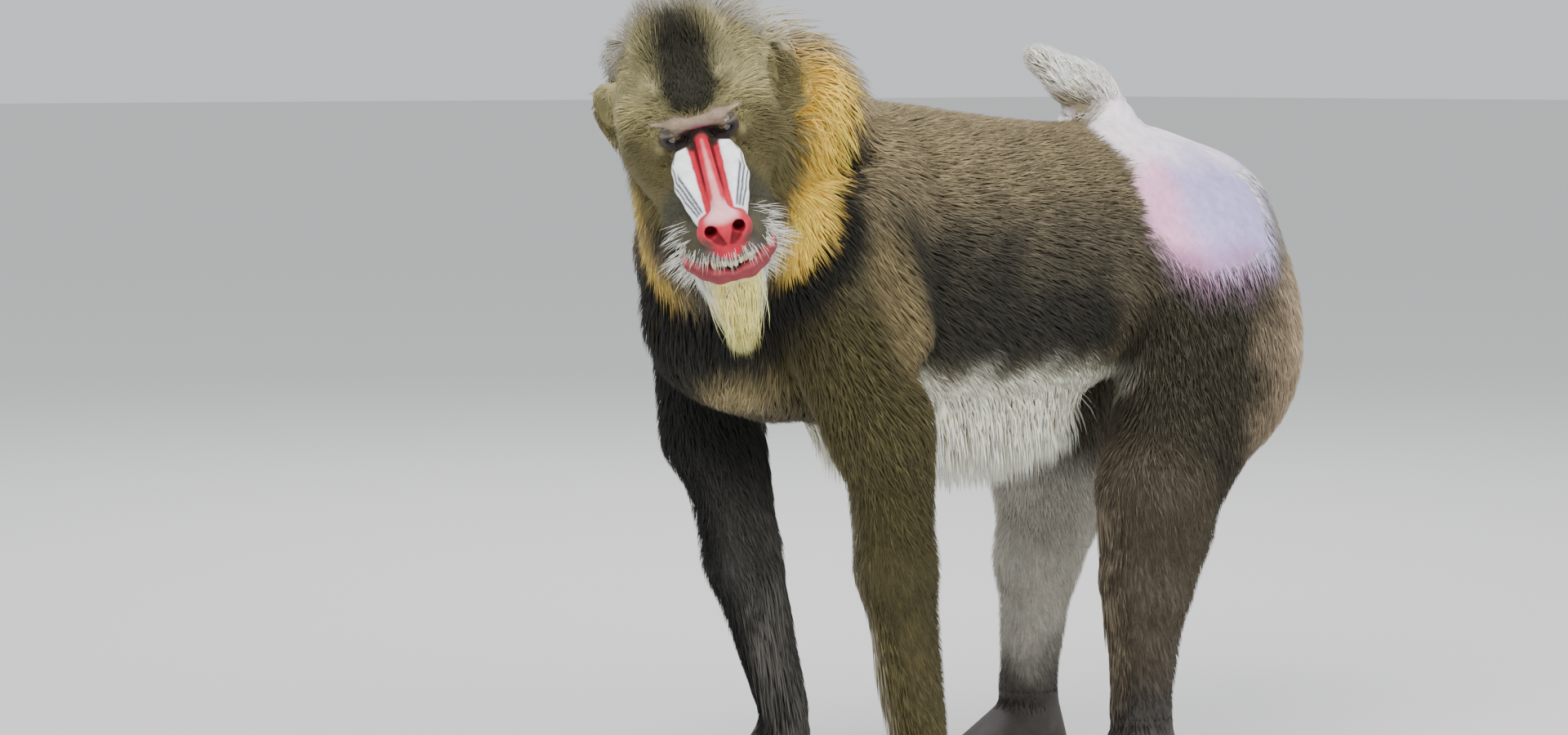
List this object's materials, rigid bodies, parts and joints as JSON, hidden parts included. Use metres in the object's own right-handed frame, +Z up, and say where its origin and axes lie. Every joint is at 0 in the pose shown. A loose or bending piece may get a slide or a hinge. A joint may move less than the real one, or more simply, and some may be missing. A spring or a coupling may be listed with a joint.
{
  "type": "standing adult male mandrill model",
  "caption": "Life-size model of an adult male mandrill on all fours, head lowered and turned to its left, with mane, beard and belly fringe",
  "frame": {"origin": "on the floor, under the middle of the bounding box", "axes": "+Z up; the animal faces -Y and its left side is +X"},
  "size_m": [0.3768, 0.8034, 0.7029],
  "materials": {
    "head": "soft fur",
    "neck": "soft fur",
    "torso": "soft fur",
    "rump": "soft fur",
    "tail": "soft fur",
    "upper_arm": "soft fur",
    "forearm": "soft fur",
    "hand": "dark bare skin",
    "thigh": "soft fur",
    "shank": "soft fur",
    "foot": "dark bare skin",
    "ear": "bare skin",
    "eye": "wet, clear front",
    "teeth": "worn, yellowish"
  },
  "bodies": {
    "root": {"head": "head", "neck": "neck", "torso": "torso", "rump": "rump", "tail": "tail", "teeth": "teeth", "ear_left": "ear", "ear_right": "ear", "eye_left": "eye", "eye_right": "eye", "upper_arm_left": "upper_arm", "upper_arm_right": "upper_arm", "forearm_left": "forearm", "forearm_right": "forearm", "hand_left": "hand", "hand_right": "hand", "thigh_left": "thigh", "thigh_right": "thigh", "shank_left": "shank", "shank_right": "shank", "foot_left": "foot", "foot_right": "foot"}
  },
  "joints": []
}
